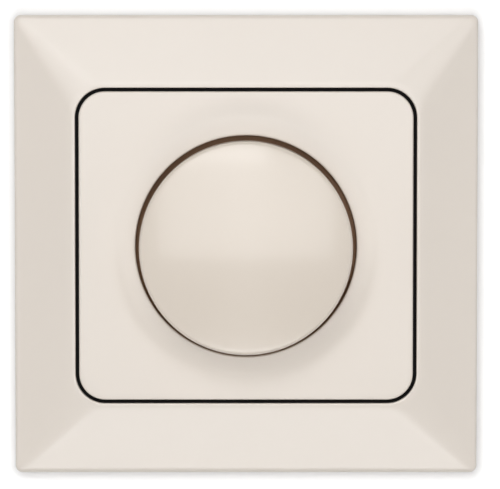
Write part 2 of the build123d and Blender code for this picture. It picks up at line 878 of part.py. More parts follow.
with BuildPart() as timing_capacitors:
    timing_back = board_back - slip_gap - timing_depth
    for x in timing_places:
        block(
            timing_width, timing_height, timing_back, board_back - slip_gap, x, timing_z,
            capacitor_round,
        )
        for side in (-1, 1):
            leg(x + side * timing_lead_spacing / 2, timing_z, board_back - slip_gap)
save(timing_capacitors, "timing_capacitors")

# Choke: a ring core lying flat, wound with spaced turns
choke_front = board_back - choke_lift - choke_wire
choke_back = choke_front - choke_height
with BuildPart() as choke_core:
    rod(choke_outer, choke_back, choke_front, choke_x, choke_z)
    rod(choke_inner, choke_back, choke_front, choke_x, choke_z, mode=Mode.SUBTRACT)
save(choke_core, "choke_core")

with BuildPart() as choke_winding:
    # each turn is a square loop round the core's section
    turn_width = choke_outer - choke_inner + 2 * (choke_wire + choke_loop_gap)
    turn_depth = choke_height + 2 * (choke_wire + choke_loop_gap)
    core_middle = (choke_outer + choke_inner) / 2
    core_centre = (choke_front + choke_back) / 2
    for turn in range(choke_turns):
        angle = 2 * pi * (turn + 0.5) / choke_turns
        along = (cos(angle), 0, sin(angle))
        across = (-sin(angle), 0, cos(angle))
        middle = (
            choke_x + core_middle * along[0], -core_centre, choke_z + core_middle * along[2]
        )
        with BuildSketch(Plane(origin=middle, x_dir=along, z_dir=across)) as loop:
            Rectangle(turn_width, turn_depth)
            Rectangle(
                turn_width - 2 * choke_wire, turn_depth - 2 * choke_wire, mode=Mode.SUBTRACT
            )
        extrude(loop.sketch, amount=choke_wire / 2, both=True)
    for turn in (0, choke_turns // 2):
        angle = 2 * pi * (turn + 0.5) / choke_turns
        reach = choke_outer + choke_loop_gap + choke_wire / 2
        leg(choke_x + reach * cos(angle), choke_z + reach * sin(angle), choke_front)
save(choke_winding, "choke_winding")

# Fuse, held across the board's top in two spring clips
fuse_out = board_back - slip_gap - clip_thickness - fuse_tube_radius - fuse_cap_wall - 2 * slip_gap
with BuildPart() as fuse_tube:
    tube_end = fuse_length / 2 - fuse_cap_wall
    cross_rod(fuse_tube_radius, -tube_end, tube_end, fuse_out, fuse_z)
    cross_rod(fuse_tube_radius - fuse_glass, -tube_end, tube_end, fuse_out, fuse_z, Mode.SUBTRACT)
save(fuse_tube, "fuse_tube")

with BuildPart() as fuse_caps:
    half = fuse_length / 2
    cross_rod(cap_radius, -half, half, fuse_out, fuse_z)
    middle_cut = half - fuse_cap_length
    cross_rod(2 * cap_radius, -middle_cut, middle_cut, fuse_out, fuse_z, Mode.SUBTRACT)
    tube_room = half - fuse_cap_wall + thread_gap
    cross_rod(
        fuse_tube_radius + thread_gap, -tube_room, tube_room, fuse_out, fuse_z, Mode.SUBTRACT
    )
save(fuse_caps, "fuse_caps")

with BuildPart() as fuse_clips:
    clip_front = board_back - slip_gap
    for side in (-1, 1):
        clip_x = side * (fuse_length / 2 - clip_inset - clip_length / 2)
        block(
            clip_length, clip_height, fuse_out - clip_leg_drop, clip_front,
            clip_x, fuse_z,
        )
        block(
            clip_length, clip_inner, fuse_out - clip_leg_drop, clip_front - clip_thickness,
            clip_x, fuse_z, mode=Mode.SUBTRACT,
        )
        leg(clip_x, fuse_z - clip_inner / 2 + clip_thickness, clip_front)
save(fuse_clips, "fuse_clips")

# Heat sink against the insulating sheet, with a fin along its top
sink_back = sink_front - sink_thickness
with BuildPart() as heat_sink:
    block(sink_width, sink_height, sink_back, sink_front, z=sink_bottom + sink_height / 2)
    block(
        sink_width, sink_thickness, sink_front - sink_fin, sink_front,
        z=sink_bottom + sink_height - sink_thickness / 2,
    )
    rod(
        triac_screw_radius + pass_gap, sink_back, sink_front, triac_screw_x, triac_z,
        mode=Mode.SUBTRACT,
    )
save(heat_sink, "heat_sink")

# Triac: a metal tab flat on the heat sink, with the moulded body on it and three bent leads
tab_back = sink_back - tab_thickness
triac_back = tab_back - triac_height
triac_lead_out = (tab_back + triac_back) / 2
with BuildPart() as triac:
    block(triac_length, triac_width, triac_back, tab_back, triac_x + triac_length / 2, triac_z)
    chamfer(triac.edges().filter_by(Axis.Z).group_by(Axis.Y)[-1], capacitor_round)
save(triac, "triac_body")

with BuildPart() as triac_tab:
    block(tab_length, triac_width, tab_back, sink_back, triac_x + tab_length / 2, triac_z)
    rod(
        triac_screw_radius + pass_gap, tab_back, sink_back, triac_screw_x, triac_z,
        mode=Mode.SUBTRACT,
    )
save(triac_tab, "triac_tab")

with BuildPart() as triac_leads:
    lead_x = triac_x - triac_lead_reach
    lead_front = triac_lead_out + triac_lead_thickness / 2
    for index in range(3):
        z = triac_z + triac_lead_pitch * (index - 1)
        block(
            triac_lead_reach, triac_lead_width, lead_front - triac_lead_thickness, lead_front,
            (triac_x + lead_x) / 2, z,
        )
        block(
            triac_lead_thickness, triac_lead_width, board_back - lead_tail, lead_front, lead_x, z
        )
save(triac_leads, "triac_leads")

with BuildPart() as triac_screw:
    rod(triac_screw_radius, tab_back, strap_thickness, triac_screw_x, triac_z)
    rod(triac_screw_head_radius, tab_back - triac_screw_head, tab_back, triac_screw_x, triac_z)
    block(
        2 * triac_screw_head_radius, screw_slot_width, tab_back - triac_screw_head,
        tab_back - triac_screw_head + screw_slot_depth, triac_screw_x, triac_z,
        mode=Mode.SUBTRACT,
    )
save(triac_screw, "triac_screw")

# Circuit board: it fits round the switch and the bosses, and each lead has its hole
leg_z = cage_top - cage_wall / 2
with BuildPart() as board:
    block(
        inner_width - 2 * board_side_gap, inner_height - 2 * board_side_gap, board_back,
        board_front, corner=housing_corner - housing_wall,
    )
    block(
        switch_size + 2 * pass_gap, switch_size + 2 * pass_gap, board_back, board_front,
        mode=Mode.SUBTRACT,
    )
    for x, z in boss_points:
        rod(boss_radius + board_boss_gap, board_back, board_front, x, z, mode=Mode.SUBTRACT)
    for x, z in board_holes:
        rod(lead_radius + lead_gap, board_back, board_front, x, z, mode=Mode.SUBTRACT)
    for x in pot_pin_x:
        block(
            pot_pin_width + 2 * lead_gap, pot_pin_thickness + 2 * lead_gap, board_back,
            board_front, x, pot_pin_z, mode=Mode.SUBTRACT,
        )
    for side in (-1, 1):
        rod(
            switch_pin_radius + lead_gap, board_back, board_front, side * switch_pin_outer, 0,
            mode=Mode.SUBTRACT,
        )
    for index in range(3):
        block(
            triac_lead_thickness + 2 * lead_gap, triac_lead_width + 2 * lead_gap, board_back,
            board_front, lead_x, triac_z + triac_lead_pitch * (index - 1), mode=Mode.SUBTRACT,
        )
    for x in terminal_x:
        block(
            terminal_leg_width + 2 * lead_gap, cage_wall + 2 * lead_gap, board_back,
            board_front, x, leg_z, mode=Mode.SUBTRACT,
        )
save(board, "circuit_board")

# Three rising-cage terminals: the screw lifts the clamp, which grips the wire under the cage
cage_height = cage_top - cage_bottom
for name, x in zip(terminal_names, terminal_x):
    with BuildPart() as cage:
        block(
            cage_width, cage_height, cage_back, cage_front, x, (cage_top + cage_bottom) / 2
        )
        block(
            cage_width - 2 * cage_wall, cage_inner_top - cage_bottom - cage_thread_wall,
            cage_back, cage_front, x, (cage_inner_top + cage_bottom + cage_thread_wall) / 2,
            mode=Mode.SUBTRACT,
        )
        upright(
            terminal_screw_radius + thread_gap, cage_bottom, cage_bottom + cage_thread_wall,
            x, cage_middle, mode=Mode.SUBTRACT,
        )
        block(terminal_leg_width, cage_wall, cage_front, board_front + lead_tail, x, leg_z)
    save(cage, f"terminal_cage_{name}")

    with BuildPart() as clamp:
        block(
            cage_width - 2 * cage_wall - 2 * slip_gap, clamp_thickness, cage_back + slip_gap,
            cage_front - slip_gap, x, (clamp_bottom + clamp_top) / 2,
        )
    save(clamp, f"terminal_clamp_{name}")

    with BuildPart() as screw:
        upright(terminal_screw_radius, head_top, clamp_bottom - slip_gap / 2, x, cage_middle)
        upright(terminal_head_radius, head_bottom, head_top, x, cage_middle)
        with BuildSketch(Plane.XY.offset(head_bottom)):
            with Locations((x, -cage_middle)):
                Rectangle(2 * terminal_head_radius, terminal_slot_width)
        extrude(amount=terminal_slot_depth, mode=Mode.SUBTRACT)
    save(screw, f"terminal_screw_{name}")
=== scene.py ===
import json
import math

import bmesh
import bpy
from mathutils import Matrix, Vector


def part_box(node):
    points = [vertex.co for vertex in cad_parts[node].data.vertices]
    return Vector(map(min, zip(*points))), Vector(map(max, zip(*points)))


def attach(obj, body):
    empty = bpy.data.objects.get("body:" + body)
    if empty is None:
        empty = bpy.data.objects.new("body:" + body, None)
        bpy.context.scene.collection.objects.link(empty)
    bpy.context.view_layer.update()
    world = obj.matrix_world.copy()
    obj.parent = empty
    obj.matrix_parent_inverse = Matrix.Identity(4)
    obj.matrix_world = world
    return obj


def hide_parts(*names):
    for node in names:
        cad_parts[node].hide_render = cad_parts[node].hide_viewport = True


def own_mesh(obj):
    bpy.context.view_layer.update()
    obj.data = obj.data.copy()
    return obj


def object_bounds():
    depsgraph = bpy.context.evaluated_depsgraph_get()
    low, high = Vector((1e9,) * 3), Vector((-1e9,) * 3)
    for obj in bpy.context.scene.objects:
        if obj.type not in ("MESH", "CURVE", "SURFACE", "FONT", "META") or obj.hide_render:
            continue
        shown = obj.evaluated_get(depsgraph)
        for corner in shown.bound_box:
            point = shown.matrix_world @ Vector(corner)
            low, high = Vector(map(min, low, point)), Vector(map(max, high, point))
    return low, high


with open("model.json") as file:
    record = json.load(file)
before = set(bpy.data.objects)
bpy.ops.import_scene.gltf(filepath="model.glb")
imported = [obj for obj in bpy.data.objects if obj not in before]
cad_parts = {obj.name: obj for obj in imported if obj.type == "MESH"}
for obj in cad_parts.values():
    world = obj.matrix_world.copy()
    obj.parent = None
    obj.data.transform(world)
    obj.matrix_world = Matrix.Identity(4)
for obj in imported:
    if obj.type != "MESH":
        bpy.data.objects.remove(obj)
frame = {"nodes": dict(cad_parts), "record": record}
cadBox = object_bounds()
nodes = frame["nodes"]
mm = 0.001
weldDistance = 1e-7  # points nearer than this become one
faceOut = -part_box("frame")[0].y  # the frame's lip and the plate's flat face are this far out
print("stage: frame loaded")


def srgb(red, green, blue):
    # a colour as it looks, 0 to 255, in the linear values that shaders use
    def one(value):
        value /= 255
        return value / 12.92 if value <= 0.04045 else ((value + 0.055) / 1.055) ** 2.4
    return (one(red), one(green), one(blue), 1)


def addObject(name, mesh, material):
    thing = bpy.data.objects.new(name, mesh)
    bpy.context.scene.collection.objects.link(thing)
    mesh.materials.append(material)
    return thing


def addPiece(name, mesh, material, body, smoothAngle=40):
    # a piece that rides on a body, smooth apart from the edges that are sharper than the angle
    piece = addObject(name, mesh, material)
    mesh.shade_smooth()
    mesh.set_sharp_from_angle(angle=math.radians(smoothAngle))
    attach(piece, body)
    return piece


def ringMesh(name, rings, closed=True):
    # joins rings of equally many points into one skin; closed joins the last ring to the first
    count = len(rings[0])
    verts = [point for ring in rings for point in ring]
    faces = []
    for step in range(len(rings) if closed else len(rings) - 1):
        low = step * count
        high = ((step + 1) % len(rings)) * count
        for index in range(count):
            after = (index + 1) % count
            faces.append((low + index, low + after, high + after, high + index))
    mesh = bpy.data.meshes.new(name)
    mesh.from_pydata(verts, [], faces)
    bm = bmesh.new()
    bm.from_mesh(mesh)
    bmesh.ops.remove_doubles(bm, verts=bm.verts, dist=weldDistance)
    bmesh.ops.dissolve_degenerate(bm, edges=bm.edges, dist=weldDistance)
    bmesh.ops.recalc_face_normals(bm, faces=bm.faces)
    bm.to_mesh(mesh)
    bm.free()
    return mesh


def arc(centre, radius, start, end, steps):
    # points of a round corner, from one angle in degrees to another
    points = []
    for step in range(steps + 1):
        angle = math.radians(start + (end - start) * step / steps)
        points.append((centre[0] + radius * math.cos(angle), centre[1] + radius * math.sin(angle)))
    return points


def roundedRing(width, height, corner, out, arcSteps, sideSteps):
    # a rounded rectangle that faces the viewer, going round from the upper right corner
    ring = []
    cornerX, cornerZ = width / 2 - corner, height / 2 - corner
    arcs = []
    for index, (signX, signZ) in enumerate(((1, 1), (-1, 1), (-1, -1), (1, -1))):
        start = 90 * index
        arcs.append(arc((signX * cornerX, signZ * cornerZ), corner, start, start + 90, arcSteps))
    for index, points in enumerate(arcs):
        ring.extend(points)
        here, there = points[-1], arcs[(index + 1) % 4][0]
        for step in range(1, sideSteps):
            share = step / sideSteps
            ring.append(tuple(a + (b - a) * share for a, b in zip(here, there)))
    return [(x, -out, z) for x, z in ring]


def circleRing(radius, out, angles):
    return [(radius * math.cos(angle), -out, radius * math.sin(angle)) for angle in angles]


def mixRings(first, second, share):
    return [tuple(a + (b - a) * share for a, b in zip(p, q)) for p, q in zip(first, second)]


def newMaterial(name):
    # a material with its node tree cleared down to one shader and the output
    material = bpy.data.materials.new(name)
    material.use_nodes = True
    tree = material.node_tree
    tree.nodes.clear()
    output = tree.nodes.new("ShaderNodeOutputMaterial")
    shader = tree.nodes.new("ShaderNodeBsdfPrincipled")
    tree.links.new(shader.outputs["BSDF"], output.inputs["Surface"])
    return material, tree, shader


def noiseNode(tree, scale, detail=2.0, roughness=0.5, stretch=(1, 1, 1)):
    # noise in the part's own coordinates, in metres, so it stays where it is in every view
    coords = tree.nodes.new("ShaderNodeTexCoord")
    mapping = tree.nodes.new("ShaderNodeMapping")
    mapping.inputs["Scale"].default_value = stretch
    noise = tree.nodes.new("ShaderNodeTexNoise")
    noise.inputs["Scale"].default_value = scale
    noise.inputs["Detail"].default_value = detail
    noise.inputs["Roughness"].default_value = roughness
    tree.links.new(coords.outputs["Object"], mapping.inputs["Vector"])
    tree.links.new(mapping.outputs["Vector"], noise.inputs["Vector"])
    return noise


def ramp(tree, source, low, high, start=0.3, end=0.7):
    # turns a noise into a colour or a grey that runs from low to high
    node = tree.nodes.new("ShaderNodeValToRGB")
    node.color_ramp.elements[0].position = start
    node.color_ramp.elements[1].position = end
    node.color_ramp.elements[0].color = low if isinstance(low, tuple) else (low, low, low, 1)
    node.color_ramp.elements[1].color = high if isinstance(high, tuple) else (high, high, high, 1)
    tree.links.new(source, node.inputs["Fac"])
    return node.outputs["Color"]


def addBumps(tree, shader, layers):
    # stacks bump layers of (height source, strength, distance in metres)
    last = None
    for source, strength, distance in layers:
        bump = tree.nodes.new("ShaderNodeBump")
        bump.inputs["Strength"].default_value = strength
        bump.inputs["Distance"].default_value = distance
        tree.links.new(source, bump.inputs["Height"])
        if last:
            tree.links.new(last, bump.inputs["Normal"])
        last = bump.outputs["Normal"]
    tree.links.new(last, shader.inputs["Normal"])


def shade(colour, factor):
    return tuple(min(1, value * factor) for value in colour[:3]) + (1,)


def mouldedPlastic(name, look):
    # moulded plastic: faint mottling, a fine skin grain and slightly uneven gloss
    material, tree, shader = newMaterial(name)
    mottle = noiseNode(tree, look["mottleScale"], detail=3)
    low = shade(look["colour"], 1 - look["mottle"])
    high = shade(look["colour"], 1 + look["mottle"])
    tree.links.new(ramp(tree, mottle.outputs["Fac"], low, high), shader.inputs["Base Color"])
    gloss = noiseNode(tree, look["glossScale"], detail=4, roughness=0.6)
    rough = ramp(tree, gloss.outputs["Fac"], *look["roughness"])
    tree.links.new(rough, shader.inputs["Roughness"])
    wave = noiseNode(tree, look["waveScale"], detail=1)
    grain = noiseNode(tree, look["grainScale"], detail=2)
    addBumps(tree, shader, [
        (wave.outputs["Fac"], 1.0, look["waveHeight"]),
        (grain.outputs["Fac"], 1.0, look["grainHeight"]),
    ])
    shader.inputs["IOR"].default_value = look.get("ior", 1.5)
    shader.inputs["Coat Weight"].default_value = look.get("coat", 0)
    shader.inputs["Coat Roughness"].default_value = look.get("coatRoughness", 0.1)
    shader.inputs["Specular IOR Level"].default_value = look.get("shine", 0.5)
    return material


def platedMetal(name, look):
    # rolled or turned metal: a tone that drifts, fine lines along the rolling and small pits
    material, tree, shader = newMaterial(name)
    shader.inputs["Metallic"].default_value = 1
    drift = noiseNode(tree, look["driftScale"], detail=5, roughness=0.65)
    low = shade(look["colour"], 1 - look["drift"])
    tree.links.new(ramp(tree, drift.outputs["Fac"], low, look["colour"]), shader.inputs["Base Color"])
    lines = noiseNode(tree, look["lineScale"], detail=3, stretch=look["lineStretch"])
    rough = ramp(tree, lines.outputs["Fac"], *look["roughness"])
    tree.links.new(rough, shader.inputs["Roughness"])
    pits = noiseNode(tree, look["pitScale"], detail=2)
    addBumps(tree, shader, [
        (lines.outputs["Fac"], 1.0, look["lineHeight"]),
        (pits.outputs["Fac"], 1.0, look["pitHeight"]),
    ])
    return material


creamLook = {
    "colour": srgb(223, 214, 204), "mottle": 0.004, "mottleScale": 40,
    "glossScale": 160, "roughness": (0.295, 0.315),
    "waveScale": 90, "waveHeight": 0.000006,
    "grainScale": 2600, "grainHeight": 0.0000025,
    "coat": 0.25, "coatRoughness": 0.12,
}
knobLook = {
    **creamLook, "colour": srgb(217, 206, 193), "roughness": (0.24, 0.262), "coat": 0.35,
    "grainHeight": 0.0000012, "coatRoughness": 0.08,
}
# the well's inside: matt, and darker and warmer than the cream as painted shade for the deep recess
wellShadeLook = {
    **creamLook, "colour": srgb(176, 140, 112), "mottle": 0.03, "roughness": (0.55, 0.65), "coat": 0,
    "shine": 0.15,
}
greyLook = {
    "colour": srgb(176, 178, 180), "mottle": 0.03, "mottleScale": 80,
    "glossScale": 260, "roughness": (0.38, 0.5),
    "waveScale": 120, "waveHeight": 0.00001,
    "grainScale": 2200, "grainHeight": 0.000008,
}
whiteLook = {**greyLook, "colour": srgb(228, 227, 222), "roughness": (0.32, 0.42)}
blackResinLook = {**greyLook, "colour": srgb(34, 34, 36), "roughness": (0.42, 0.55), "mottle": 0.1}
sheetLook = {
    **greyLook, "colour": srgb(70, 72, 74), "roughness": (0.45, 0.6), "mottle": 0.06,
    "grainScale": 900, "grainHeight": 0.00001,
}
# near black, so that the piece lying in the groove round the plate makes the narrow groove read black:
# painted shade
grooveShadeLook = {
    "colour": srgb(9, 8, 8), "mottle": 0.2, "mottleScale": 400,
    "glossScale": 900, "roughness": (0.7, 0.85),
    "waveScale": 200, "waveHeight": 0.00001,
    "grainScale": 3000, "grainHeight": 0.00001, "ior": 1.45, "shine": 0.1,
}
phenolicLook = {
    **greyLook, "colour": srgb(122, 78, 44), "mottle": 0.16, "mottleScale": 500,
    "roughness": (0.4, 0.55), "grainScale": 1600, "grainHeight": 0.00001,
}
carbonLook = {
    **greyLook, "colour": srgb(40, 38, 38), "mottle": 0.25, "mottleScale": 1800,
    "roughness": (0.5, 0.65),
}
resistorLook = {**greyLook, "colour": srgb(206, 182, 138), "mottle": 0.05, "roughness": (0.3, 0.4)}
filmLook = {**greyLook, "colour": srgb(206, 170, 60), "mottle": 0.03, "roughness": (0.3, 0.42)}
ferriteLook = {
    **greyLook, "colour": srgb(52, 50, 52), "mottle": 0.2, "mottleScale": 1500,
    "roughness": (0.55, 0.7), "grainHeight": 0.00002,
}
laminateLook = {
    **greyLook, "colour": srgb(92, 112, 58), "mottle": 0.12, "mottleScale": 300,
    "roughness": (0.28, 0.38), "grainScale": 1300, "grainHeight": 0.000006, "coat": 0.4,
}
zincLook = {
    "colour": srgb(196, 199, 203), "drift": 0.2, "driftScale": 260,
    "lineScale": 700, "lineStretch": (1, 1, 12), "roughness": (0.28, 0.42), "lineHeight": 0.000004,
    "pitScale": 1500, "pitHeight": 0.000004,
}
brassLook = {**zincLook, "colour": srgb(214, 200, 168), "drift": 0.16, "lineStretch": (1, 12, 1)}
springLook = {**zincLook, "colour": srgb(178, 178, 180), "roughness": (0.28, 0.36)}
tinLook = {**zincLook, "colour": srgb(214, 192, 170), "drift": 0.22, "roughness": (0.28, 0.4)}
aluminiumLook = {
    **zincLook, "colour": srgb(208, 210, 212), "lineStretch": (14, 1, 1), "roughness": (0.3, 0.45),
}
wireLook = {
    **zincLook, "colour": srgb(178, 88, 44), "drift": 0.25, "roughness": (0.28, 0.36),
}


def fuseGlass(name, look):
    # clear glass with a faint tint, slight waviness and dust
    material, tree, shader = newMaterial(name)
    haze = noiseNode(tree, look["hazeScale"], detail=3)
    tint = ramp(tree, haze.outputs["Fac"], look["colour"], shade(look["colour"], look["drift"]))
    tree.links.new(tint, shader.inputs["Base Color"])
    dust = noiseNode(tree, look["dustScale"], detail=4)
    rough = ramp(tree, dust.outputs["Fac"], *look["roughness"])
    tree.links.new(rough, shader.inputs["Roughness"])
    addBumps(tree, shader, [(haze.outputs["Fac"], 1.0, look["waveHeight"])])
    shader.inputs["Transmission Weight"].default_value = look["clear"]
    shader.inputs["IOR"].default_value = look["ior"]
    return material


glassLook = {
    "colour": srgb(236, 242, 240), "drift": 1.04, "hazeScale": 300, "dustScale": 1500,
    "roughness": (0.03, 0.09), "waveHeight": 0.000004, "clear": 0.9, "ior": 1.5,
}
diacLook = {**glassLook, "colour": srgb(206, 92, 52), "clear": 0.45}

materials = {
    "cream_plastic": mouldedPlastic("cream moulded plastic", creamLook),
    "black_rubber": mouldedPlastic("near-black groove shade", grooveShadeLook),
    "nickel_brass": platedMetal("nickelled brass", brassLook),
    "spring_steel": platedMetal("spring steel", springLook),
    "zinc_steel": platedMetal("zinc plated steel", zincLook),
    "sheet_plastic": mouldedPlastic("insulating sheet", sheetLook),
    "grey_plastic": mouldedPlastic("grey moulded plastic", greyLook),
    "phenolic": mouldedPlastic("phenolic board", phenolicLook),
    "carbon_film": mouldedPlastic("carbon track", carbonLook),
    "plated_copper": platedMetal("tinned copper", tinLook),
    "white_plastic": mouldedPlastic("white moulded plastic", whiteLook),
    "black_resin": mouldedPlastic("black resin", blackResinLook),
    "resistor_body": mouldedPlastic("resistor coating", resistorLook),
    "diac_glass": fuseGlass("tinted glass", diacLook),
    "film_box": mouldedPlastic("capacitor case", filmLook),
    "ferrite": mouldedPlastic("ferrite", ferriteLook),
    "enamelled_wire": platedMetal("enamelled wire", wireLook),
    "fuse_glass": fuseGlass("fuse glass", glassLook),
    "aluminium": platedMetal("aluminium", aluminiumLook),
    "board_laminate": mouldedPlastic("board laminate", laminateLook),
}
creamPlastic = materials["cream_plastic"]
knobPlastic = mouldedPlastic("glossy cream plastic", knobLook)
wellPaintedShadePlastic = mouldedPlastic("matt plastic inside the well with painted shade", wellShadeLook)
print("stage: materials made")


# Cover frame: rounded rings from the ledge, up over the opening's lip, down the slope and back
frameShape = {
    "corner": 1.3 * mm, "edge": 4.6 * mm, "edgeRound": 1.0 * mm, "wall": 2.0 * mm,
    "openingCorner": 5.4 * mm, "plateGap": 0.66 * mm, "lip": 0.5 * mm, "lipRound": 0.22 * mm,
    "ledgeWidth": 1.8 * mm, "ledge": (3.2 * mm, 4.4 * mm), "backChamfer": 0.15 * mm,
    "innerCorner": 0.3 * mm, "arcSteps": 16, "sideSteps": 24, "lipSteps": 6,
    "slopeSteps": 14, "slopeShare": 0.9, "edgeSteps": 14,
}


def slopeInset(out, run, rise, edge, roundness):
    # how far the surface lies in from the outer wall at this height: a fillet, then the slope
    length = math.hypot(run, rise)
    centre = edge - roundness * (length - rise) / run
    tangent = centre + roundness * run / length
    if out <= centre:
        return 0
    if out < tangent:
        return roundness - math.sqrt(roundness**2 - (out - centre)**2)
    return (out - edge) * run / rise


def makeCoverFrame(shape):
    low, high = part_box("frame")
    plateLow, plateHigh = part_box("centre_plate")
    width, height, face = high.x - low.x, high.z - low.z, -low.y
    openWidth = plateHigh.x - plateLow.x + 2 * shape["plateGap"]
    openHeight = plateHigh.z - plateLow.z + 2 * shape["plateGap"]
    rise = face - shape["edge"]
    runX = (width - openWidth) / 2 - shape["lip"]
    runZ = (height - openHeight) / 2 - shape["lip"]
    openCorner, lipCorner = shape["openingCorner"], shape["openingCorner"] + shape["lip"]
    ledgeBottom, ledgeTop = shape["ledge"]
    rings = []

    def add(ringWidth, ringHeight, corner, out):
        rings.append(roundedRing(
            ringWidth, ringHeight, corner, out, shape["arcSteps"], shape["sideSteps"]
        ))

    ledge = shape["ledgeWidth"]
    add(openWidth - 2 * ledge, openHeight - 2 * ledge, openCorner - ledge, ledgeBottom)
    add(openWidth - 2 * ledge, openHeight - 2 * ledge, openCorner - ledge, ledgeTop)
    add(openWidth, openHeight, openCorner, ledgeTop)
    lipRound = shape["lipRound"]
    for inset, up in arc((lipRound, -lipRound), lipRound, 180, 90, shape["lipSteps"]):
        add(openWidth + 2 * inset, openHeight + 2 * inset, openCorner + inset, face + up)
    # wide steps down most of the slope, then fine ones round the edge
    slopeSteps, edgeSteps = shape["slopeSteps"], shape["edgeSteps"]
    slope = [face - rise * step / slopeSteps * shape["slopeShare"] for step in range(slopeSteps + 1)]
    last, bottom = slope[-1], shape["edge"] - shape["edgeRound"]
    edge = [last + (bottom - last) * step / edgeSteps for step in range(1, edgeSteps + 1)]
    for out in slope + edge:
        climbed = max(0, (out - shape["edge"]) / rise)
        insetX = slopeInset(out, runX, rise, shape["edge"], shape["edgeRound"])
        insetZ = slopeInset(out, runZ, rise, shape["edge"], shape["edgeRound"])
        corner = shape["corner"] + (lipCorner - shape["corner"]) * climbed
        add(width - 2 * insetX, height - 2 * insetZ, corner, out)
    back = shape["backChamfer"]
    add(width, height, shape["corner"], back)
    add(width - 2 * back, height - 2 * back, shape["corner"], 0)
    wall, inner = shape["wall"], shape["innerCorner"]
    add(width - 2 * wall, height - 2 * wall, inner, 0)
    add(width - 2 * wall, height - 2 * wall, inner, shape["edge"] - wall)
    add(openWidth + 2 * wall, openHeight + 2 * wall, inner, face - wall)
    add(openWidth + 2 * wall, openHeight + 2 * wall, inner, ledgeBottom)
    return ringMesh("coverFrame", rings)


coverFrame = addPiece("coverFrame", makeCoverFrame(frameShape), creamPlastic, "root")
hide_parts("frame")

# Centre plate: rings from the floor's hole, up the well, over the collar and out to the skirt
plateShape = {
    "corner": 4.74 * mm, "edgeRound": 0.35 * mm, "wall": 1.6 * mm, "skin": 1.8 * mm,
    "wellRadius": 19.95 * mm, "wellWall": 1.6 * mm, "collarWidth": 5.6 * mm,
    "collarLand": 0.8 * mm, "collarEdge": 0.3 * mm, "holeRadius": 4.7 * mm,
    "floorThickness": 1.3 * mm, "floorRound": 0.5 * mm, "leastCorner": 0.2 * mm,
    "faceShares": (0.25, 0.5, 0.75, 0.95), "arcSteps": 16, "sideSteps": 64,
    "floorSteps": 5, "roundSteps": 6, "collarSteps": 20, "mattShadeMargin": 0.01 * mm,
}


def curvePoints(points, steps):
    # a curve through four control points, without its first point
    found = []
    for step in range(1, steps + 1):
        t = step / steps
        weights = ((1 - t)**3, 3 * t * (1 - t)**2, 3 * t * t * (1 - t), t**3)
        found.append(tuple(sum(w * p[axis] for w, p in zip(weights, points)) for axis in (0, 1)))
    return found


def makeCentrePlate(shape):
    low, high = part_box("centre_plate")
    width, height = high.x - low.x, high.z - low.z
    floorOut, collarTop, face = -high.y, -low.y, faceOut
    ledgeTop = frameShape["ledge"][1]
    floorTop = floorOut + shape["floorThickness"]

    def outline(inset, corner, out):
        return roundedRing(
            width - 2 * inset, height - 2 * inset, corner, out, shape["arcSteps"], shape["sideSteps"],
        )

    angles = [math.atan2(z, x) for x, y, z in outline(0, shape["corner"], face)]
    well, edge = shape["wellRadius"], shape["collarEdge"]
    crest = (well + shape["collarLand"], collarTop)
    base = (well + shape["collarWidth"], face)
    half = shape["collarWidth"] / 2
    profile = [(shape["holeRadius"], floorOut), (shape["holeRadius"], floorTop)]
    floorRound = shape["floorRound"]
    profile += arc((well - floorRound, floorTop + floorRound), floorRound, -90, 0, shape["floorSteps"])
    profile += arc((well + edge, collarTop - edge), edge, 180, 90, shape["roundSteps"])
    profile += [crest]
    profile += curvePoints(
        [crest, (crest[0] + half, crest[1]), (base[0] - half, base[1]), base], shape["collarSteps"],
    )
    rings = [circleRing(radius, out, angles) for radius, out in profile]

    def addOutline(inset, out):
        rings.append(outline(inset, max(shape["corner"] - inset, shape["leastCorner"]), out))

    edgeRound = shape["edgeRound"]
    collarFoot, flat = rings[-1], outline(edgeRound, shape["corner"] - edgeRound, face)
    for share in shape["faceShares"]:
        rings.append(mixRings(collarFoot, flat, share))
    for inset, up in arc((edgeRound, -edgeRound), edgeRound, 90, 180, shape["roundSteps"]):
        addOutline(inset, face + up)
    addOutline(0, ledgeTop)
    addOutline(shape["wall"], ledgeTop)
    addOutline(shape["wall"], face - shape["skin"])
    wellOuter = well + shape["wellWall"]
    rings.append(circleRing(wellOuter, face - shape["skin"], angles))
    rings.append(circleRing(wellOuter, floorOut, angles))
    return ringMesh("centrePlate", rings)


def makeInsideMattPaintedShade(piece, reach, top):
    # faces inside this radius and lower than this top get the matt well plastic, coloured darker and
    # warmer than the cream as painted shade for the recess
    mesh = piece.data
    mesh.materials.append(wellPaintedShadePlastic)
    for face in mesh.polygons:
        if math.hypot(face.center.x, face.center.z) < reach and -face.center.y < top:
            face.material_index = 1


centrePlate = addPiece("centrePlate", makeCentrePlate(plateShape), creamPlastic, "root")
makeInsideMattPaintedShade(centrePlate, plateShape["wellRadius"] + plateShape["mattShadeMargin"], faceOut)
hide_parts("centre_plate")

# Knob: a turned profile from the dome's top, over the rim, and up inside to the shaft's bore
knobShape = {
    "crown": 2.6 * mm, "edgeRound": 0.9 * mm, "wall": 1.6 * mm, "roof": 1.8 * mm,
    "hubRadius": 4.8 * mm, "boreRadius": 3.05 * mm, "hubBottom": 9.2 * mm, "boreEnd": 15.1 * mm,
    "lipRound": 0.25 * mm, "ribs": 6, "ribWidth": 1.0 * mm, "ribDrop": 4.0 * mm,
    "keyBottom": 1.94 * mm, "weld": 0.4 * mm, "mattShadeDrop": 0.5 * mm,
    "sides": 256, "domeSteps": 24, "edgeSteps": 10, "lipSteps": 4,
}


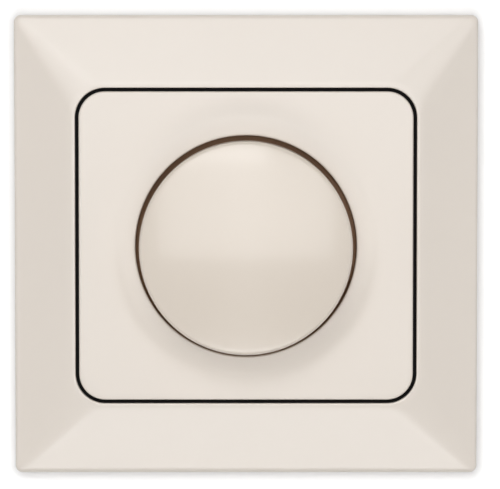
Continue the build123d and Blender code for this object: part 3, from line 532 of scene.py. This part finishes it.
def addBlock(mesh, away, across, outs, angle):
    # a closed block that stands away from the axis, turned round it by the angle
    bm = bmesh.new()
    bm.from_mesh(mesh)
    corners = []
    for out in outs:
        for reach, side in ((away[0], across[0]), (away[1], across[0]),
                            (away[1], across[1]), (away[0], across[1])):
            x = reach * math.cos(angle) - side * math.sin(angle)
            z = reach * math.sin(angle) + side * math.cos(angle)
            corners.append(bm.verts.new((x, -out, z)))
    faces = [corners[:4], corners[4:]]
    for here in range(4):
        there = (here + 1) % 4
        faces.append([corners[here], corners[there], corners[there + 4], corners[here + 4]])
    made = [bm.faces.new(face) for face in faces]
    bmesh.ops.recalc_face_normals(bm, faces=made)
    bm.to_mesh(mesh)
    bm.free()


def makeKnob(shape):
    low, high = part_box("knob")
    radius, top, bottom = (high.x - low.x) / 2, -low.y, -high.y
    crown, edge = shape["crown"], shape["edgeRound"]
    domeRadius = (radius**2 + crown**2) / (2 * crown)
    domeCentre = top - domeRadius
    edgeCentre = (radius - edge, domeCentre + math.sqrt((domeRadius - edge)**2 - (radius - edge)**2))
    meet = math.degrees(math.atan2(edgeCentre[1] - domeCentre, edgeCentre[0]))
    profile = arc((0, domeCentre), domeRadius, 90, meet, shape["domeSteps"])
    profile += arc(edgeCentre, edge, meet, 0, shape["edgeSteps"])[1:]
    profile += [(radius, faceOut - shape["mattShadeDrop"])]
    lip, inner = shape["lipRound"], radius - shape["wall"]
    profile += arc((radius - lip, bottom + lip), lip, 0, -90, shape["lipSteps"])
    profile += arc((inner + lip, bottom + lip), lip, -90, -180, shape["lipSteps"])
    hub = shape["hubRadius"]
    hubTop = domeCentre + math.sqrt(domeRadius**2 - hub**2) - shape["roof"]
    profile += [(inner, top - crown - shape["roof"]), (hub, hubTop), (hub, shape["hubBottom"])]
    profile += [(shape["boreRadius"], shape["hubBottom"]), (shape["boreRadius"], shape["boreEnd"])]
    profile += [(0, shape["boreEnd"])]
    angles = [2 * math.pi * index / shape["sides"] for index in range(shape["sides"])]
    rings = [circleRing(reach, out, angles) for reach, out in profile]
    mesh = ringMesh("turningKnob", rings, closed=False)
    # ribs under the roof, and the key in the bore; each one sinks a little into the wall it joins
    weld, ribTop = shape["weld"], top - crown - shape["roof"]
    for index in range(shape["ribs"]):
        addBlock(mesh, (hub - weld, inner + weld), (-shape["ribWidth"] / 2, shape["ribWidth"] / 2),
                 (ribTop - shape["ribDrop"], ribTop + weld), 2 * math.pi * index / shape["ribs"])
    bore = shape["boreRadius"]
    addBlock(mesh, (shape["keyBottom"], bore + weld), (-bore, bore),
             (shape["hubBottom"], shape["boreEnd"] + weld), math.pi / 2)
    return mesh


turningKnob = addPiece("turningKnob", makeKnob(knobShape), knobPlastic, "dial")
# the knob's skirt down in the well gets the same matt plastic with painted shade
makeInsideMattPaintedShade(turningKnob, plateShape["wellRadius"], faceOut - knobShape["mattShadeDrop"])
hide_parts("knob")
print("stage: front pieces made")

# Return spring behind the push switch's plunger: a coil of wire
springShape = {"wire": 0.3 * mm, "turns": 4, "turnSteps": 36, "sides": 14, "joint": "plunger_travel"}


def makeSpring(shape, low, high):
    half, sides = shape["wire"] / 2, shape["sides"]
    radius = (high.x - low.x) / 2 - half
    start, length = low.y + half, high.y - low.y - 2 * half
    steps = shape["turns"] * shape["turnSteps"]
    rings, middles = [], []
    for step in range(steps + 1):
        angle = 2 * math.pi * step / shape["turnSteps"]
        y = start + length * step / steps
        middles.append((radius * math.cos(angle), y, radius * math.sin(angle)))
        ring = []
        for up, out in arc((0, 0), half, 0, 360, sides)[:-1]:
            reach = radius + out
            ring.append((reach * math.cos(angle), y + up, reach * math.sin(angle)))
        rings.append(ring)
    rings = [[middles[0]] * sides] + rings + [[middles[-1]] * sides]
    return ringMesh("returnSpring", rings, closed=False)


springLow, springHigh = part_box("push_spring")
springMesh = makeSpring(springShape, springLow, springHigh)
returnSpring = addPiece("returnSpring", springMesh, materials["spring_steel"], "root", smoothAngle=60)
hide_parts("push_spring")
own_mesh(returnSpring)
print("stage: return spring made")

for subpart in frame["record"]["subparts"]:
    node = nodes[subpart["node"]]
    node.data.materials.clear()
    node.data.materials.append(materials[subpart["material_slot"]])
print("stage: solids dressed")

# Studio: a pale wall with an opening behind the plate, a pale floor, lamps and the camera
studio = {
    "paper": (0.9, 0.9, 0.9, 1), "wallLift": 0.3, "wallSize": 3.0, "floorDrop": 1.6,
    "wallGap": 0.4 * mm, "wallInset": 0.6 * mm, "wallCorner": 1.0 * mm, "arcSteps": 4, "sideSteps": 2,
    "shadowReach": 2.2 * mm, "rimMargin": 0.1 * mm,
    "worldStrength": 0.15,
    "cameraTilt": 3.5, "cameraDistance": 0.6, "viewWidth": 90.8 * mm, "sensor": 36.0,
    "aim": (0.72 * mm, -4.0 * mm, 0.0), "clip": (0.01, 10),
    "lamps": {
        "top box": {"place": (-0.12, -0.72, 0.53), "size": (0.5, 0.4), "watts": 1.81},
        "low strip": {"place": (0.0, -0.62, -0.56), "size": (0.6, 0.16), "watts": 1.37},
        "wide box": {"place": (0.0, -1.6, 0.3), "size": (1.7, 1.0), "watts": 12.7},
        "tall strip": {"place": (0.0, -1.2, 0.0), "size": (0.25, 1.8), "watts": 0.6},
        "left strip": {"place": (-0.78, -0.45, 0.05), "size": (0.12, 0.8), "watts": 0.6},
        "right strip": {"place": (0.78, -0.45, 0.05), "size": (0.12, 0.8), "watts": 0.7},
        "back box": {"place": (0.5, 0.9, 0.6), "size": (0.8, 0.8), "watts": 9.0},
    },
}


def whiteForCamera(name, colour, lift):
    # pale diffuse; the camera sees it a little brighter, so that it reads as white paper
    material = bpy.data.materials.new(name)
    material.use_nodes = True
    tree = material.node_tree
    tree.nodes.clear()
    output = tree.nodes.new("ShaderNodeOutputMaterial")
    diffuse = tree.nodes.new("ShaderNodeBsdfDiffuse")
    diffuse.inputs["Color"].default_value = colour
    glow = tree.nodes.new("ShaderNodeEmission")
    glow.name = "glow"
    paths = tree.nodes.new("ShaderNodeLightPath")
    strength = tree.nodes.new("ShaderNodeMath")
    strength.name = "lifted"
    strength.operation = "MULTIPLY"
    strength.inputs[1].default_value = lift
    both = tree.nodes.new("ShaderNodeAddShader")
    tree.links.new(paths.outputs["Is Camera Ray"], strength.inputs[0])
    tree.links.new(strength.outputs[0], glow.inputs["Strength"])
    tree.links.new(diffuse.outputs[0], both.inputs[0])
    tree.links.new(glow.outputs[0], both.inputs[1])
    tree.links.new(both.outputs[0], output.inputs["Surface"])
    return material, tree, both, output


def makeFloor(setup):
    half, floorZ = setup["wallSize"] / 2, -setup["floorDrop"]
    mesh = bpy.data.meshes.new("floor")
    mesh.from_pydata(
        [(-half, -half, floorZ), (half, -half, floorZ), (half, half, floorZ), (-half, half, floorZ)],
        [], [(0, 1, 2, 3)],
    )
    material = whiteForCamera("pale floor", setup["paper"], setup["wallLift"])[0]
    floor = addObject("floor", mesh, material)


def wallPaint(setup):
    # pale in front and clear from behind; the lift is scaled by the mesh's own fade, which takes it away
    # beside the rim as a painted shadow
    material, tree, front, output = whiteForCamera("pale wall", setup["paper"], setup["wallLift"])
    paintedShadowFade = tree.nodes.new("ShaderNodeAttribute")
    paintedShadowFade.attribute_name = "paintedShadowFade"
    paintedShadowFaded = tree.nodes.new("ShaderNodeMath")
    paintedShadowFaded.operation = "MULTIPLY"
    tree.links.new(tree.nodes["lifted"].outputs[0], paintedShadowFaded.inputs[0])
    tree.links.new(paintedShadowFade.outputs["Fac"], paintedShadowFaded.inputs[1])
    tree.links.new(paintedShadowFaded.outputs[0], tree.nodes["glow"].inputs["Strength"])
    geometry = tree.nodes.new("ShaderNodeNewGeometry")
    clear = tree.nodes.new("ShaderNodeBsdfTransparent")
    choose = tree.nodes.new("ShaderNodeMixShader")
    tree.links.new(geometry.outputs["Backfacing"], choose.inputs["Fac"])
    tree.links.new(front.outputs[0], choose.inputs[1])
    tree.links.new(clear.outputs[0], choose.inputs[2])
    tree.links.new(choose.outputs[0], output.inputs["Surface"])
    return material


def makeWall(setup):
    # a sheet with a hole just inside the plate's rim; its lift rises from none at the rim to full at the
    # shadow's reach, a painted shadow band round the plate on top of the shadow the plate casts
    low, high = cadBox
    width, height, out = high.x - low.x, high.z - low.z, -setup["wallGap"]
    corner, steps = setup["wallCorner"], (setup["arcSteps"], setup["sideSteps"])
    rings = []
    for grow in (-setup["wallInset"], 0, setup["shadowReach"]):
        rings.append(roundedRing(width + 2 * grow, height + 2 * grow, corner + max(grow, 0), out, *steps))
    rings.append(roundedRing(setup["wallSize"], setup["wallSize"], corner, out, *steps))
    mesh = ringMesh("wall", rings, closed=False)
    paintedShadowFades = mesh.attributes.new("paintedShadowFade", "FLOAT", "POINT")
    nearX, nearZ = width / 2 + setup["rimMargin"], height / 2 + setup["rimMargin"]
    for vert, value in zip(mesh.vertices, paintedShadowFades.data):
        # no lift on the rings at the rim: the painted shadow
        value.value = 0 if abs(vert.co.x) < nearX and abs(vert.co.z) < nearZ else 1
    if mesh.polygons[0].normal.y > 0:
        mesh.flip_normals()
    wall = addObject("wall", mesh, wallPaint(setup))


def makeLamps(lamps):
    for name, lamp in lamps.items():
        light = bpy.data.lights.new(name, "AREA")
        light.shape = "RECTANGLE"
        light.size, light.size_y = lamp["size"]
        light.energy = lamp["watts"]
        holder = bpy.data.objects.new(name, light)
        holder.location = lamp["place"]
        holder.rotation_euler = (-Vector(lamp["place"])).to_track_quat("-Z", "Y").to_euler()
        bpy.context.scene.collection.objects.link(holder)


def makeWorld(strength):
    # soft light all round; the camera, and glossy and clear surfaces, see it as white
    world = bpy.data.worlds.new("studio air")
    bpy.context.scene.world = world
    world.use_nodes = True
    tree = world.node_tree
    tree.nodes.clear()
    output = tree.nodes.new("ShaderNodeOutputWorld")
    soft = tree.nodes.new("ShaderNodeBackground")
    soft.inputs["Color"].default_value = (1, 1, 1, 1)
    soft.inputs["Strength"].default_value = strength
    white = tree.nodes.new("ShaderNodeBackground")
    white.inputs["Color"].default_value = (1, 1, 1, 1)
    paths = tree.nodes.new("ShaderNodeLightPath")
    seen = tree.nodes.new("ShaderNodeMath")
    seen.operation = "MAXIMUM"
    through = tree.nodes.new("ShaderNodeMath")
    through.operation = "MAXIMUM"
    choose = tree.nodes.new("ShaderNodeMixShader")
    tree.links.new(paths.outputs["Is Camera Ray"], seen.inputs[0])
    tree.links.new(paths.outputs["Is Glossy Ray"], seen.inputs[1])
    tree.links.new(seen.outputs[0], through.inputs[0])
    tree.links.new(paths.outputs["Is Transmission Ray"], through.inputs[1])
    tree.links.new(through.outputs[0], choose.inputs["Fac"])
    tree.links.new(soft.outputs[0], choose.inputs[1])
    tree.links.new(white.outputs[0], choose.inputs[2])
    tree.links.new(choose.outputs[0], output.inputs["Surface"])


def makeCamera(setup):
    # a long lens, aimed near the plate's middle and looking down a little
    camera = bpy.data.objects.new("camera", bpy.data.cameras.new("camera"))
    bpy.context.scene.collection.objects.link(camera)
    distance, tilt = setup["cameraDistance"], math.radians(setup["cameraTilt"])
    aim = Vector(setup["aim"])
    camera.location = aim + Vector((0, -distance * math.cos(tilt), distance * math.sin(tilt)))
    camera.rotation_euler = (math.pi / 2 - tilt, 0, 0)
    camera.data.sensor_width = setup["sensor"]
    camera.data.lens = setup["sensor"] * distance / setup["viewWidth"]
    camera.data.clip_start, camera.data.clip_end = setup["clip"]
    bpy.context.scene.camera = camera


makeFloor(studio)
makeWall(studio)
makeLamps(studio["lamps"])
makeWorld(studio["worldStrength"])
makeCamera(studio)
bpy.context.scene.view_settings.view_transform = "Standard"
print("stage: studio made")
